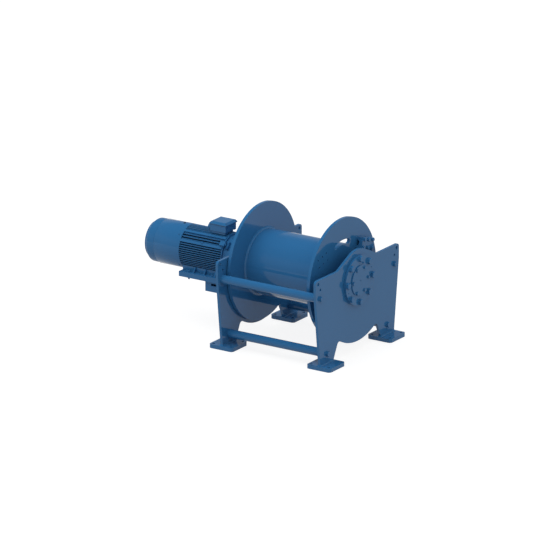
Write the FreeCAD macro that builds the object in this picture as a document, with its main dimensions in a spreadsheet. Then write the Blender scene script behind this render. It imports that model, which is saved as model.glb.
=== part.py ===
"""Mooring winch: two side plates on four feet, a flanged rope drum between them, and an overhung motor.

The drum turns about the X axis. It is carried by the gearbox inside it at the motor end and by a
bearing housing at the other end. The origin is on the floor, midway between the four feet, +X towards
the bearing end and +Z up. All lengths are millimetres, and each driving one is a cell of the sheet.
"""
import FreeCAD, Part
import math
import os

import Sketcher

DOC = FreeCAD.newDocument("mooring_winch")
SHEET = DOC.addObject("Spreadsheet::Sheet", "Sheet")

DRIVING = {
    # side plates
    "axis_height": 562,
    "plate_span": 861,
    "plate_thickness": 20,
    "ear_half_width": 563,
    "ear_top": 135,
    "ear_inner": 268,
    "ear_straight": 19,
    "ear_corner": 26,
    "valley_rounding": 20,
    "crown_radius": 236,
    "bulge_radius": 474,
    "leg_inset": 151,
    "leg_half_width": 88,
    "leg_taper": 66,
    "notch_radius": 30,
    "lifting_hole_inset": 34,
    "lifting_hole_drop": 29,
    "lifting_hole_radius": 13,
    "lashing_hole_rise": 70,
    "lashing_hole_radius": 10,
    # feet
    "foot_size": 210,
    "foot_thickness": 30,
    "foot_corner": 24,
    "foot_hole_inset": 28,
    "foot_hole_radius": 11,
    # tie rods
    "rod_radius": 32,
    "upper_rod_inset": 62,
    "upper_rod_drop": 12,
    "lower_rod_inset": 155,
    "lower_rod_height": 103,
    # drum
    "barrel_radius": 248,
    "barrel_wall": 20,
    "flange_radius": 450,
    "flange_thickness": 25,
    "gear_end_gap": 6,
    "bearing_end_gap": 109,
    "rope_slot_rise": 20,
    "rope_slot_half_width": 18,
    "rope_slot_start": 74,
    "rope_slot_end": 110,
    # rope clamp
    "clamp_across": 258,
    "spare_clamp_across": 270,
    "clamp_up": 198,
    "clamp_tilt": 15,
    "clamp_bolt_pitch": 57,
    "clamp_row_pitch": 60,
    "clamp_edge": 14,
    "clamp_end": 21,
    "clamp_hole_radius": 7,
    "clamp_depth": 52,
    "rope_radius": 22,
    # bearing end
    "spigot_radius": 140,
    "seat_clearance": 0.3,
    "running_clearance": 0.05,
    "journal_radius": 72,
    "hub_radius": 150,
    "hub_thickness": 20,
    "housing_radius": 190,
    "housing_thickness": 20,
    "jack_hole_circle": 164,
    "jack_hole_angle": 22.5,
    "jack_hole_radius": 5,
    "cover_radius": 116,
    "cover_thickness": 8,
    "journal_inset": 5,
    # gearbox inside the drum
    "gearbox_boss_radius": 120,
    "gearbox_flange_radius": 212,
    "gearbox_flange_thickness": 22,
    "gearbox_radius": 195,
    "gearbox_length": 330,
    "gearbox_nose_radius": 110,
    "gearbox_nose_length": 60,
    "web_thickness": 25,
    "web_gap": 11,
    # adapter between side plate and motor
    "adapter_radius": 142,
    "adapter_length": 203,
    "adapter_rim": 26,
    "adapter_flange_thickness": 18,
    # motor
    "motor_radius": 169,
    "fin_radius": 168,
    "shield_length": 24,
    "shield_rim": 8,
    "shield_step": 5,
    "stator_length": 369,
    "stator_core_radius": 128,
    "fin_thickness": 5,
    "fin_pitch": 16,
    "rail_width": 20,
    "rail_rise": 1,
    "rail_turn": 30,
    "second_rail_turn": 59,
    "lug_length": 22,
    "lug_size": 36,
    "lug_rise": 15,
    "lug_turn": 48,
    "ear_length": 22,
    "fan_cover_length": 326,
    "fan_cover_cap": 98,
    "fan_cover_step": 3,
    "fan_cover_rounding": 22,
    "fan_cover_dome_radius": 142,
    "fan_cover_dome_length": 20,
    "fan_cover_dome_rounding": 6,
    # motor feet and console
    "motor_foot_drop": 184,
    "motor_foot_thickness": 38,
    "motor_foot_half_width": 182,
    "motor_foot_setback": 10,
    "motor_foot_length": 335,
    "saddle_half_width": 128,
    "rib_thickness": 9,
    "rib_first": 116,
    "rib_pitch": 93,
    "rib_inset": 20,
    "rib_lean": 34,
    "rib_height": 45,
    "console_half_width": 165,
    "console_height": 80,
    "console_reach": 360,
    "console_wall": 12,
    "console_slot_setback": 52,
    "console_slot_length": 60,
    "console_slot_height": 18,
    "console_slot_drop": 24,
    # terminal box
    "box_centre": 309,
    "lid_length": 152,
    "lid_width": 152,
    "box_end_inset": 6,
    "box_back_inset": 28,
    "box_front_inset": 3,
    "box_height": 51,
    "plinth_height": 18,
    "plinth_inset": 8,
    "lid_thickness": 22,
    "lid_edge": 15,
    "plinth_seat": 163,
    "entry_plate_inset": 4,
    "entry_plate_depth": 25,
    "entry_plate_drop": 6,
}

for row, (alias, value) in enumerate(DRIVING.items(), start=1):
    SHEET.set(f"A{row}", alias)
    SHEET.set(f"B{row}", str(value))
    SHEET.setAlias(f"B{row}", alias)
DOC.recompute()


class Size:
    """A length with its value and the expression over the sheet that gives it."""

    def __init__(self, value, text):
        self.value = float(value)
        self.text = text

    @staticmethod
    def of(other):
        return other if isinstance(other, Size) else Size(other, repr(other))

    def _join(self, other, sign, value):
        return Size(value, f"({self.text} {sign} {Size.of(other).text})")

    def __add__(self, other):
        return self._join(other, "+", self.value + Size.of(other).value)

    def __sub__(self, other):
        return self._join(other, "-", self.value - Size.of(other).value)

    def __mul__(self, other):
        return self._join(other, "*", self.value * Size.of(other).value)

    def __truediv__(self, other):
        return self._join(other, "/", self.value / Size.of(other).value)

    def __neg__(self):
        return Size(-self.value, f"(0 - {self.text})")

    def __radd__(self, other):
        return Size.of(other) + self

    def __rsub__(self, other):
        return Size.of(other) - self

    def __rmul__(self, other):
        return Size.of(other) * self


def root(size):
    return Size(math.sqrt(size.value), f"sqrt({size.text})")


def cosine(angle):
    return Size(math.cos(math.radians(angle.value)), f"cos({angle.text})")


def sine(angle):
    return Size(math.sin(math.radians(angle.value)), f"sin({angle.text})")


class Cells:
    """Reads cells of the sheet by alias, so that dim.plate_span is a Size."""

    def __getattr__(self, alias):
        return Size(getattr(SHEET, alias), f"Sheet.{alias}")


dim = Cells()
ZERO = Size(0, "0")
SUBPARTS = []


def bind(thing, prop, size):
    size = Size.of(size)
    thing.setExpression(prop, size.text)


def place(thing, x=ZERO, y=ZERO, z=ZERO):
    for axis, size in (("x", x), ("y", y), ("z", z)):
        bind(thing, f"Placement.Base.{axis}", size)


def named(thing, label):
    thing.Label = label
    SUBPARTS.append(thing)
    return thing


def new_body(label):
    return named(DOC.addObject("PartDesign::Body", "Body_" + label), label)


def sketch_on(body, role, name, offset=None):
    """A sketch on one of the body's own origin planes, moved along the plane's normal by offset."""
    sketch = body.newObject("Sketcher::SketchObject", f"{body.Name}_{name}")
    plane = next(item for item in body.Origin.OriginFeatures if item.Role == role)
    sketch.AttachmentSupport = [(plane, "")]
    sketch.MapMode = "FlatFace"
    if offset is not None:
        bind(sketch, "AttachmentOffset.Base.z", offset)
    return sketch


def fix_point(sketch, geometry, corner, x, y):
    """Hold one end or centre of a sketch element at x, y from the sketch's origin."""
    for kind, size in (("DistanceX", x), ("DistanceY", y)):
        size = Size.of(size)
        index = sketch.addConstraint(Sketcher.Constraint(kind, -1, 1, geometry, corner, size.value))
        sketch.setExpression(f"Constraints[{index}]", size.text)


def polygon(sketch, corners):
    """A closed outline of straight edges through the given corners."""
    corners = [(Size.of(x), Size.of(y)) for x, y in corners]
    points = [FreeCAD.Vector(x.value, y.value, 0) for x, y in corners]
    edges = [sketch.addGeometry(Part.LineSegment(*ends), False)
             for ends in zip(points, points[1:] + points[:1])]
    for edge, following in zip(edges, edges[1:] + edges[:1]):
        sketch.addConstraint(Sketcher.Constraint("Coincident", edge, 2, following, 1))
    for edge, (x, y) in zip(edges, corners):
        fix_point(sketch, edge, 1, x, y)


def circle(sketch, x, y, radius):
    x, y, radius = Size.of(x), Size.of(y), Size.of(radius)
    centre = FreeCAD.Vector(x.value, y.value, 0)
    shape = Part.Circle(centre, FreeCAD.Vector(0, 0, 1), radius.value)
    edge = sketch.addGeometry(shape, False)
    fix_point(sketch, edge, 3, x, y)
    index = sketch.addConstraint(Sketcher.Constraint("Radius", edge, radius.value))
    sketch.setExpression(f"Constraints[{index}]", radius.text)


def pad(body, sketch, length, midplane=False, backwards=False):
    feature = body.newObject("PartDesign::Pad", sketch.Name + "_pad")
    feature.Profile = sketch
    bind(feature, "Length", length)
    feature.Midplane = midplane
    feature.Reversed = backwards
    body.Tip = feature
    return feature


def pocket(body, sketch):
    """Cut the sketch right through the body, both ways from its plane."""
    feature = body.newObject("PartDesign::Pocket", sketch.Name + "_pocket")
    feature.Profile = sketch
    feature.Type = "ThroughAll"
    feature.Midplane = True
    body.Tip = feature
    return feature


def revolve(label, corners):
    """A solid of revolution about the drum axis; corners are (x, radius) from the body's placement."""
    body = new_body(label)
    sketch = sketch_on(body, "XZ_Plane", "profile")
    polygon(sketch, corners)
    feature = body.newObject("PartDesign::Revolution", body.Name + "_turn")
    feature.Profile = sketch
    feature.ReferenceAxis = (sketch, ["H_Axis"])
    feature.Angle = 360
    body.Tip = feature
    place(body, z=dim.axis_height)
    return body


def box(label, low, high, keep=True):
    """A box from its low and high corners, each three sizes."""
    thing = DOC.addObject("Part::Box", label)
    for prop, start, end in zip(("Length", "Width", "Height"), low, high):
        bind(thing, prop, Size.of(end) - start)
    place(thing, *low)
    return named(thing, label) if keep else thing


def join(label, pieces):
    whole = DOC.addObject("Part::MultiFuse", label)
    whole.Shapes = pieces
    return named(whole, label)


def cut(label, base, tool):
    remainder = DOC.addObject("Part::Cut", label)
    remainder.Base, remainder.Tool = base, tool
    return named(remainder, label)


def cylinder_x(label, radius, start, length, y=ZERO, z=ZERO, keep=True):
    """A round bar along X."""
    thing = DOC.addObject("Part::Cylinder", label)
    bind(thing, "Radius", radius)
    bind(thing, "Height", length)
    thing.Placement = FreeCAD.Placement(FreeCAD.Vector(), FreeCAD.Rotation(FreeCAD.Vector(0, 1, 0), 90))
    place(thing, start, y, z)
    return named(thing, label) if keep else thing


half_span = dim.plate_span / 2
outer_face = half_span + dim.plate_thickness / 2
inner_face = half_span - dim.plate_thickness / 2
foot_top = dim.foot_thickness - dim.axis_height
upper_rod_across = dim.ear_half_width - dim.upper_rod_inset
lower_rod_across = dim.ear_half_width - dim.lower_rod_inset


# ---- side plates -------------------------------------------------------------------------------

leg_across = dim.ear_half_width - dim.leg_inset
leg_outer = leg_across + dim.leg_half_width
leg_inner = leg_across - dim.leg_half_width
leg_root = leg_inner - dim.leg_taper
leg_root_drop = root(dim.bulge_radius * dim.bulge_radius - leg_root * leg_root)


def hold_arc(sketch, edge, radius):
    """Centre an arc on the drum axis and give it its radius."""
    sketch.addConstraint(Sketcher.Constraint("Coincident", edge, 3, -1, 1))
    index = sketch.addConstraint(Sketcher.Constraint("Radius", edge, radius.value))
    sketch.setExpression(f"Constraints[{index}]", radius.text)


def arc_about_axis(radius, start, end):
    round_edge = Part.Circle(FreeCAD.Vector(), FreeCAD.Vector(0, 0, 1), radius.value)
    return Part.ArcOfCircle(round_edge, start, end)


def half_plate_outline(sketch):
    """The +Y half: crown arc, tangent slope, ear, tapered leg, and the bulge arc under the drum."""
    crown, bulge = dim.crown_radius, dim.bulge_radius
    corners = [
        (dim.ear_inner, dim.ear_top),
        (dim.ear_half_width, dim.ear_top),
        (dim.ear_half_width, dim.ear_straight),
        (leg_outer, foot_top),
        (leg_inner, foot_top),
    ]
    points = [FreeCAD.Vector(y.value, z.value, 0) for y, z in corners]
    reach = math.hypot(points[0].x, points[0].y)
    touch = math.atan2(points[0].y, points[0].x) + math.acos(crown.value / reach)
    tangent_point = FreeCAD.Vector(crown.value * math.cos(touch), crown.value * math.sin(touch), 0)
    bulge_end = FreeCAD.Vector(leg_root.value, -leg_root_drop.value, 0)
    top = FreeCAD.Vector(0, crown.value, 0)
    bottom = FreeCAD.Vector(0, -bulge.value, 0)
    quarter = math.pi / 2

    crown_edge = sketch.addGeometry(arc_about_axis(crown, touch, quarter), False)
    path = [tangent_point, *points, bulge_end]
    lines = [sketch.addGeometry(Part.LineSegment(*ends), False) for ends in zip(path, path[1:])]
    bulge_angle = math.atan2(bulge_end.y, bulge_end.x)
    bulge_edge = sketch.addGeometry(arc_about_axis(bulge, -quarter, bulge_angle), False)
    closing = sketch.addGeometry(Part.LineSegment(bottom, top), False)

    hold_arc(sketch, crown_edge, crown)
    hold_arc(sketch, bulge_edge, bulge)
    sketch.addConstraint(Sketcher.Constraint("Tangent", crown_edge, 1, lines[0], 1))
    for line, following in zip(lines, lines[1:]):
        sketch.addConstraint(Sketcher.Constraint("Coincident", line, 2, following, 1))
    sketch.addConstraint(Sketcher.Constraint("Coincident", lines[-1], 2, bulge_edge, 2))
    sketch.addConstraint(Sketcher.Constraint("Coincident", bulge_edge, 1, closing, 1))
    sketch.addConstraint(Sketcher.Constraint("Coincident", closing, 2, crown_edge, 2))
    sketch.addConstraint(Sketcher.Constraint("PointOnObject", closing, 1, -2))
    sketch.addConstraint(Sketcher.Constraint("PointOnObject", closing, 2, -2))
    for line, (y, z) in zip(lines[1:], corners):
        fix_point(sketch, line, 1, y, z)
    index = sketch.addConstraint(Sketcher.Constraint("DistanceX", -1, 1, bulge_edge, 2, leg_root.value))
    sketch.setExpression(f"Constraints[{index}]", leg_root.text)


def fillet_through_edges(body, name, radius, y, z):
    """Round the two edges through the plate that stand at plus and minus y, at height z."""
    base = body.Tip
    edges = []
    for number, edge in enumerate(base.Shape.Edges, start=1):
        ends = [vertex.Point for vertex in edge.Vertexes]
        if all(math.hypot(abs(end.y) - y.value, end.z - z.value) < 1 for end in ends):
            edges.append(f"Edge{number}")
    feature = body.newObject("PartDesign::Fillet", f"{body.Name}_{name}")
    feature.Base = (base, edges)
    bind(feature, "Radius", radius)
    body.Tip = feature
    DOC.recompute()


def side_plate(label, x, bore):
    body = new_body(label)
    outline = sketch_on(body, "YZ_Plane", "outline")
    half_plate_outline(outline)
    half = pad(body, outline, dim.plate_thickness, midplane=True)
    mirrored = body.newObject("PartDesign::Mirrored", body.Name + "_mirror")
    mirrored.Originals = [half]
    mirrored.MirrorPlane = (outline, ["V_Axis"])
    body.Tip = mirrored
    DOC.recompute()
    fillet_through_edges(body, "ear_corner", dim.ear_corner, dim.ear_half_width, dim.ear_top)
    fillet_through_edges(body, "valley", dim.valley_rounding, dim.ear_inner, dim.ear_top)
    fillet_through_edges(body, "notch", dim.notch_radius, leg_root, -leg_root_drop)
    holes = sketch_on(body, "YZ_Plane", "holes")
    circle(holes, ZERO, ZERO, bore)
    lifting_across = dim.ear_half_width - dim.lifting_hole_inset
    lifting_up = dim.ear_top - dim.lifting_hole_drop
    lashing_up = dim.lashing_hole_rise - dim.upper_rod_drop
    for side in (-1, 1):
        circle(holes, side * lifting_across, lifting_up, dim.lifting_hole_radius)
        circle(holes, side * upper_rod_across, lashing_up, dim.lashing_hole_radius)
    pocket(body, holes)
    place(body, x=x, z=dim.axis_height)
    return body


side_plate("side_plate_motor_end", -half_span, dim.gearbox_boss_radius + dim.seat_clearance)
side_plate("side_plate_bearing_end", half_span, dim.spigot_radius + dim.seat_clearance)


# ---- feet and tie rods -------------------------------------------------------------------------

def foot_plate(label, x, y):
    body = new_body(label)
    sketch = sketch_on(body, "XY_Plane", "outline")
    half = dim.foot_size / 2
    polygon(sketch, [(-half, -half), (half, -half), (half, half), (-half, half)])
    base = pad(body, sketch, dim.foot_thickness)
    DOC.recompute()
    corners = []
    for number, edge in enumerate(base.Shape.Edges, start=1):
        if abs(edge.Vertexes[0].Z - edge.Vertexes[-1].Z) > 1:
            corners.append(f"Edge{number}")
    rounded = body.newObject("PartDesign::Fillet", body.Name + "_corners")
    rounded.Base = (base, corners)
    bind(rounded, "Radius", dim.foot_corner)
    body.Tip = rounded
    holes = sketch_on(body, "XY_Plane", "holes")
    out = half - dim.foot_hole_inset
    for across in (-1, 1):
        for along in (-1, 1):
            circle(holes, across * out, along * out, dim.foot_hole_radius)
    pocket(body, holes)
    place(body, x, y)
    return body


for end, x in (("motor_end", -half_span), ("bearing_end", half_span)):
    for side, sign in (("front", -1), ("back", 1)):
        foot_plate(f"foot_plate_{end}_{side}", x, sign * leg_across)

for level, across, height in (
    ("upper", upper_rod_across, dim.axis_height - dim.upper_rod_drop),
    ("lower", lower_rod_across, dim.lower_rod_height),
):
    for side, sign in (("front", -1), ("back", 1)):
        cylinder_x(f"tie_rod_{level}_{side}", dim.rod_radius, -inner_face, 2 * inner_face,
                   sign * across, height)


# ---- drum --------------------------------------------------------------------------------------

gear_flange_in = -inner_face + dim.gear_end_gap + dim.flange_thickness
bearing_flange_out = inner_face - dim.bearing_end_gap
bearing_flange_in = bearing_flange_out - dim.flange_thickness
barrel_bore = dim.barrel_radius - dim.barrel_wall

revolve("drum_barrel", [
    (gear_flange_in, barrel_bore),
    (bearing_flange_in, barrel_bore),
    (bearing_flange_in, dim.barrel_radius),
    (gear_flange_in, dim.barrel_radius),
])
revolve("drum_flange_gear_end", [
    (gear_flange_in - dim.flange_thickness, barrel_bore),
    (gear_flange_in, barrel_bore),
    (gear_flange_in, dim.flange_radius),
    (gear_flange_in - dim.flange_thickness, dim.flange_radius),
])


def clamp_spots(middle_across, side):
    """Centres of the two rows of three clamp bolts on one side of the rope slot, as (y, z)."""
    spots = []
    for row in (-0.5, 0.5):
        for place_in_row in (-1, 0, 1):
            along = place_in_row * dim.clamp_bolt_pitch
            up = row * dim.clamp_row_pitch
            across = middle_across + along * cosine(dim.clamp_tilt) + up * sine(dim.clamp_tilt)
            height = dim.clamp_up - along * sine(dim.clamp_tilt) + up * cosine(dim.clamp_tilt)
            spots.append((side * across, height))
    return spots


def bearing_end_flange():
    body = new_body("drum_flange_bearing_end")
    disc = sketch_on(body, "YZ_Plane", "disc")
    circle(disc, ZERO, ZERO, dim.flange_radius)
    pad(body, disc, dim.flange_thickness)
    holes = sketch_on(body, "YZ_Plane", "holes")
    circle(holes, ZERO, ZERO, dim.journal_radius + dim.seat_clearance)
    for y, z in clamp_spots(dim.spare_clamp_across, -1):
        circle(holes, y, z, dim.clamp_hole_radius)
    pocket(body, holes)
    slot = sketch_on(body, "YZ_Plane", "rope_slot")
    rope_slot(slot)
    pocket(body, slot)
    place(body, bearing_flange_in, z=dim.axis_height)
    return body


def rope_slot(sketch):
    """A slot bent round the drum axis just above the barrel, with a round end at each angle."""
    start, end = math.radians(dim.rope_slot_start.value), math.radians(dim.rope_slot_end.value)
    half = dim.rope_slot_half_width
    middle = dim.barrel_radius + dim.rope_slot_rise
    inner = sketch.addGeometry(arc_about_axis(middle - half, start, end), False)
    outer = sketch.addGeometry(arc_about_axis(middle + half, start, end), False)
    caps = []
    for angle, turn in ((start, -math.pi), (end, 0)):
        centre = FreeCAD.Vector(middle.value * math.cos(angle), middle.value * math.sin(angle), 0)
        round_edge = Part.Circle(centre, FreeCAD.Vector(0, 0, 1), half.value)
        cap = Part.ArcOfCircle(round_edge, angle + turn, angle + turn + math.pi)
        caps.append(sketch.addGeometry(cap, False))
    hold_arc(sketch, inner, middle - half)
    hold_arc(sketch, outer, middle + half)
    first, last = caps
    for ends in ((inner, 1, first, 1), (first, 2, outer, 1), (outer, 2, last, 1), (last, 2, inner, 2)):
        sketch.addConstraint(Sketcher.Constraint("Tangent", *ends))
    for cap, angle in ((first, dim.rope_slot_start), (last, dim.rope_slot_end)):
        across = middle * cosine(angle)
        index = sketch.addConstraint(Sketcher.Constraint("DistanceX", -1, 1, cap, 3, across.value))
        sketch.setExpression(f"Constraints[{index}]", across.text)


bearing_end_flange()

web_face = -inner_face + dim.gearbox_length
revolve("drum_web", [
    (web_face, dim.gearbox_nose_radius + dim.running_clearance),
    (web_face + dim.web_thickness, dim.gearbox_nose_radius + dim.running_clearance),
    (web_face + dim.web_thickness, barrel_bore - dim.seat_clearance),
    (web_face, barrel_bore - dim.seat_clearance),
])
housing_front = outer_face + dim.housing_thickness
journal_end = housing_front - dim.journal_inset
hub_face = bearing_flange_in - dim.hub_thickness
hub_bore = dim.journal_radius + dim.seat_clearance
revolve("drum_hub", [
    (hub_face, hub_bore),
    (bearing_flange_in, hub_bore),
    (bearing_flange_in, dim.hub_radius),
    (hub_face, dim.hub_radius),
])
cylinder_x("drum_journal", dim.journal_radius, hub_face, journal_end - hub_face, z=dim.axis_height)


def rope_clamp():
    """A block over both rows of bolts, flat on the flange, with a groove for the rope between them."""
    half_long = dim.clamp_bolt_pitch + dim.clamp_end
    half_wide = dim.clamp_row_pitch / 2 + dim.clamp_edge
    block = box("clamp_blank", (ZERO, -half_long, -half_wide),
                (dim.clamp_depth, half_long, half_wide), keep=False)
    groove = DOC.addObject("Part::Cylinder", "clamp_groove")
    bind(groove, "Radius", dim.rope_radius)
    bind(groove, "Height", 2 * half_long + dim.clamp_end)
    groove.Placement = FreeCAD.Placement(FreeCAD.Vector(), FreeCAD.Rotation(FreeCAD.Vector(1, 0, 0), -90))
    place(groove, ZERO, -half_long - dim.clamp_end / 2, ZERO)
    clamp = cut("rope_clamp", block, groove)
    tilt = -dim.clamp_tilt
    turn = FreeCAD.Rotation(FreeCAD.Vector(1, 0, 0), tilt.value)
    clamp.Placement = FreeCAD.Placement(FreeCAD.Vector(), turn)
    bind(clamp, "Placement.Rotation.Angle", tilt)
    place(clamp, bearing_flange_out, dim.clamp_across, dim.axis_height + dim.clamp_up)


rope_clamp()


# ---- bearing end -------------------------------------------------------------------------------

journal_bore = dim.journal_radius + dim.running_clearance


def bearing_housing():
    """A flanged sleeve through the side plate, with two opposite jacking holes in its flange."""
    body = revolve("bearing_housing", [
        (inner_face, journal_bore),
        (housing_front, journal_bore),
        (housing_front, dim.housing_radius),
        (outer_face, dim.housing_radius),
        (outer_face, dim.spigot_radius),
        (inner_face, dim.spigot_radius),
    ])
    holes = sketch_on(body, "YZ_Plane", "jack_holes")
    across = dim.jack_hole_circle * cosine(dim.jack_hole_angle)
    up = dim.jack_hole_circle * sine(dim.jack_hole_angle)
    for side in (-1, 1):
        circle(holes, side * across, side * up, dim.jack_hole_radius)
    pocket(body, holes)


bearing_housing()
revolve("bearing_cover", [
    (housing_front, ZERO),
    (housing_front + dim.cover_thickness, ZERO),
    (housing_front + dim.cover_thickness, dim.cover_radius),
    (housing_front, dim.cover_radius),
])


# ---- gearbox and adapter, along -X -------------------------------------------------------------

motor_plate = -outer_face
gearbox_end = web_face - dim.web_gap
gearbox_flange_in = dim.gearbox_flange_thickness - inner_face
revolve("gearbox", [
    (motor_plate, ZERO),
    (web_face + dim.gearbox_nose_length, ZERO),
    (web_face + dim.gearbox_nose_length, dim.gearbox_nose_radius),
    (gearbox_end, dim.gearbox_nose_radius),
    (gearbox_end, dim.gearbox_radius),
    (gearbox_flange_in, dim.gearbox_radius),
    (gearbox_flange_in, dim.gearbox_flange_radius),
    (-inner_face, dim.gearbox_flange_radius),
    (-inner_face, dim.gearbox_boss_radius),
    (motor_plate, dim.gearbox_boss_radius),
])
adapter_end = motor_plate - dim.adapter_length
adapter_rim_radius = dim.adapter_radius + dim.adapter_rim
revolve("motor_adapter", [
    (motor_plate, ZERO),
    (motor_plate, adapter_rim_radius),
    (motor_plate - dim.adapter_flange_thickness, adapter_rim_radius),
    (motor_plate - dim.adapter_flange_thickness, dim.adapter_radius),
    (adapter_end, dim.adapter_radius),
    (adapter_end, ZERO),
])


# ---- motor -------------------------------------------------------------------------------------

stator_end = adapter_end - dim.shield_length
stator_start = stator_end - dim.stator_length
shield_shoulder = stator_end + dim.shield_rim


def along_motor(name, turn, low, high, width, start, length):
    """A bar along the motor between two radii, turned by an angle about the motor's axis."""
    bar = box(name, (ZERO, ZERO, ZERO), (length, width, high - low), keep=False)
    bar.Placement = FreeCAD.Placement(FreeCAD.Vector(), FreeCAD.Rotation(FreeCAD.Vector(1, 0, 0), turn.value))
    bind(bar, "Placement.Rotation.Angle", turn)
    across = low * sine(turn) + width / 2 * cosine(turn)
    rise = low * cosine(turn) - width / 2 * sine(turn)
    place(bar, start, -across, dim.axis_height + rise)
    return bar


def corner_blocks(name, start, length):
    """Four blocks at the motor's corners, where the end shield is bolted on."""
    low, high = dim.stator_core_radius - dim.lug_size, dim.fin_radius + dim.lug_rise
    turns = (dim.lug_turn, -dim.lug_turn, 180 - dim.lug_turn, dim.lug_turn - 180)
    return [along_motor(f"{name}_{number}", turn, low, high, dim.lug_size, start, length)
            for number, turn in enumerate(turns)]


def motor_end_shield():
    """Round cast shield with four ears that meet the stator's corner lugs."""
    rim = cylinder_x("shield_rim", dim.fin_radius - dim.shield_step, stator_end, dim.shield_rim,
                     z=dim.axis_height, keep=False)
    nose = DOC.addObject("Part::Cone", "shield_nose")
    bind(nose, "Radius1", dim.adapter_radius + dim.shield_step)
    bind(nose, "Radius2", dim.adapter_radius)
    bind(nose, "Height", adapter_end - shield_shoulder)
    nose.Placement = FreeCAD.Placement(FreeCAD.Vector(), FreeCAD.Rotation(FreeCAD.Vector(0, 1, 0), 90))
    place(nose, shield_shoulder, ZERO, dim.axis_height)
    return join("motor_end_shield", [rim, nose] + corner_blocks("ear", stator_end, dim.ear_length))


motor_end_shield()


def level_fins():
    """Fins that lie level and stick out to both sides, as far as the round envelope."""
    fins = []
    for number in range(-8, 9):
        height = dim.fin_pitch * number
        outer = dim.fin_pitch * abs(number) + dim.fin_thickness / 2
        reach = root(dim.fin_radius * dim.fin_radius - outer * outer)
        bottom = dim.axis_height + height - dim.fin_thickness / 2
        fins.append(box(f"level_fin_{number + 8}", (stator_start, -reach, bottom),
                        (stator_end, reach, bottom + dim.fin_thickness), keep=False))
    return fins


def upright_fins():
    """Fins that stand up on top of the stator, as far as the round envelope."""
    fins = []
    for number in range(-5, 6):
        across = dim.fin_pitch * number
        outer = dim.fin_pitch * abs(number) + dim.fin_thickness / 2
        reach = root(dim.fin_radius * dim.fin_radius - outer * outer)
        left = across - dim.fin_thickness / 2
        bottom = dim.axis_height + dim.stator_core_radius / 2
        fins.append(box(f"upright_fin_{number + 5}", (stator_start, left, bottom),
                        (stator_end, left + dim.fin_thickness, dim.axis_height + reach), keep=False))
    return fins


def stator_housing():
    """Finned round housing with two wide rails a side, corner lugs and a flat for the terminal box."""
    core = cylinder_x("stator_core", dim.stator_core_radius, stator_start, dim.stator_length,
                      z=dim.axis_height, keep=False)
    low, high = dim.stator_core_radius / 2, dim.fin_radius + dim.rail_rise
    turns = (dim.rail_turn, -dim.rail_turn, dim.second_rail_turn, -dim.second_rail_turn)
    rails = [along_motor(f"rail_{number}", turn, low, high, dim.rail_width, stator_start, dim.stator_length)
             for number, turn in enumerate(turns)]
    lugs = corner_blocks("lug", stator_end - dim.lug_length, dim.lug_length)
    whole = DOC.addObject("Part::MultiFuse", "stator_blank")
    whole.Shapes = [core] + rails + lugs + level_fins() + upright_fins()
    seat = box("box_seat", (plinth_low_x, plinth_low_y, dim.axis_height + dim.plinth_seat),
               (plinth_high_x, plinth_high_y, dim.axis_height + 2 * dim.motor_radius), keep=False)
    return cut("stator_housing", whole, seat)


box_middle = motor_plate - dim.box_centre
box_low_x = box_middle - dim.lid_length / 2 + dim.box_end_inset
box_high_x = box_middle + dim.lid_length / 2 - dim.box_end_inset
box_low_y = dim.box_front_inset - dim.lid_width / 2
box_high_y = dim.lid_width / 2 - dim.box_back_inset
plinth_low_x, plinth_high_x = box_low_x + dim.plinth_inset, box_high_x - dim.plinth_inset
plinth_low_y, plinth_high_y = box_low_y + dim.plinth_inset, box_high_y - dim.plinth_inset
stator_housing()
cover_end = stator_start - dim.fan_cover_length


def round_rim(body, name, x, radius, rounding):
    """Round the outer edge of a turned body where it steps in at x."""
    DOC.recompute()
    base = body.Tip
    rims = []
    for number, edge in enumerate(base.Shape.Edges, start=1):
        bounds = edge.BoundBox
        at_step = abs(bounds.XMax - x.value) < 1 and abs(bounds.XMin - x.value) < 1
        if at_step and abs(bounds.ZLength - 2 * radius.value) < 1:
            rims.append(f"Edge{number}")
    rounded = body.newObject("PartDesign::Fillet", f"{body.Name}_{name}")
    rounded.Base = (base, rims)
    bind(rounded, "Radius", rounding)
    body.Tip = rounded


def fan_cover():
    """A round cover over the fan and the brake; its cap is a little smaller and ends in a raised disc."""
    cap_start = cover_end + dim.fan_cover_cap
    cap_radius = dim.motor_radius - dim.fan_cover_step
    shoulder = cover_end + dim.fan_cover_dome_length
    body = revolve("fan_cover", [
        (stator_start, ZERO),
        (stator_start, dim.motor_radius),
        (cap_start, dim.motor_radius),
        (cap_start, cap_radius),
        (shoulder, cap_radius),
        (shoulder, dim.fan_cover_dome_radius),
        (cover_end, dim.fan_cover_dome_radius),
        (cover_end, ZERO),
    ])
    round_rim(body, "rim", shoulder, cap_radius, dim.fan_cover_rounding)
    round_rim(body, "dome_rim", cover_end, dim.fan_cover_dome_radius, dim.fan_cover_dome_rounding)


fan_cover()


# ---- motor feet, console and terminal box ------------------------------------------------------

foot_bottom = dim.axis_height - dim.motor_foot_drop
foot_deck = foot_bottom + dim.motor_foot_thickness
motor_foot_start = stator_start + dim.motor_foot_setback
motor_foot_end = motor_foot_start + dim.motor_foot_length


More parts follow.
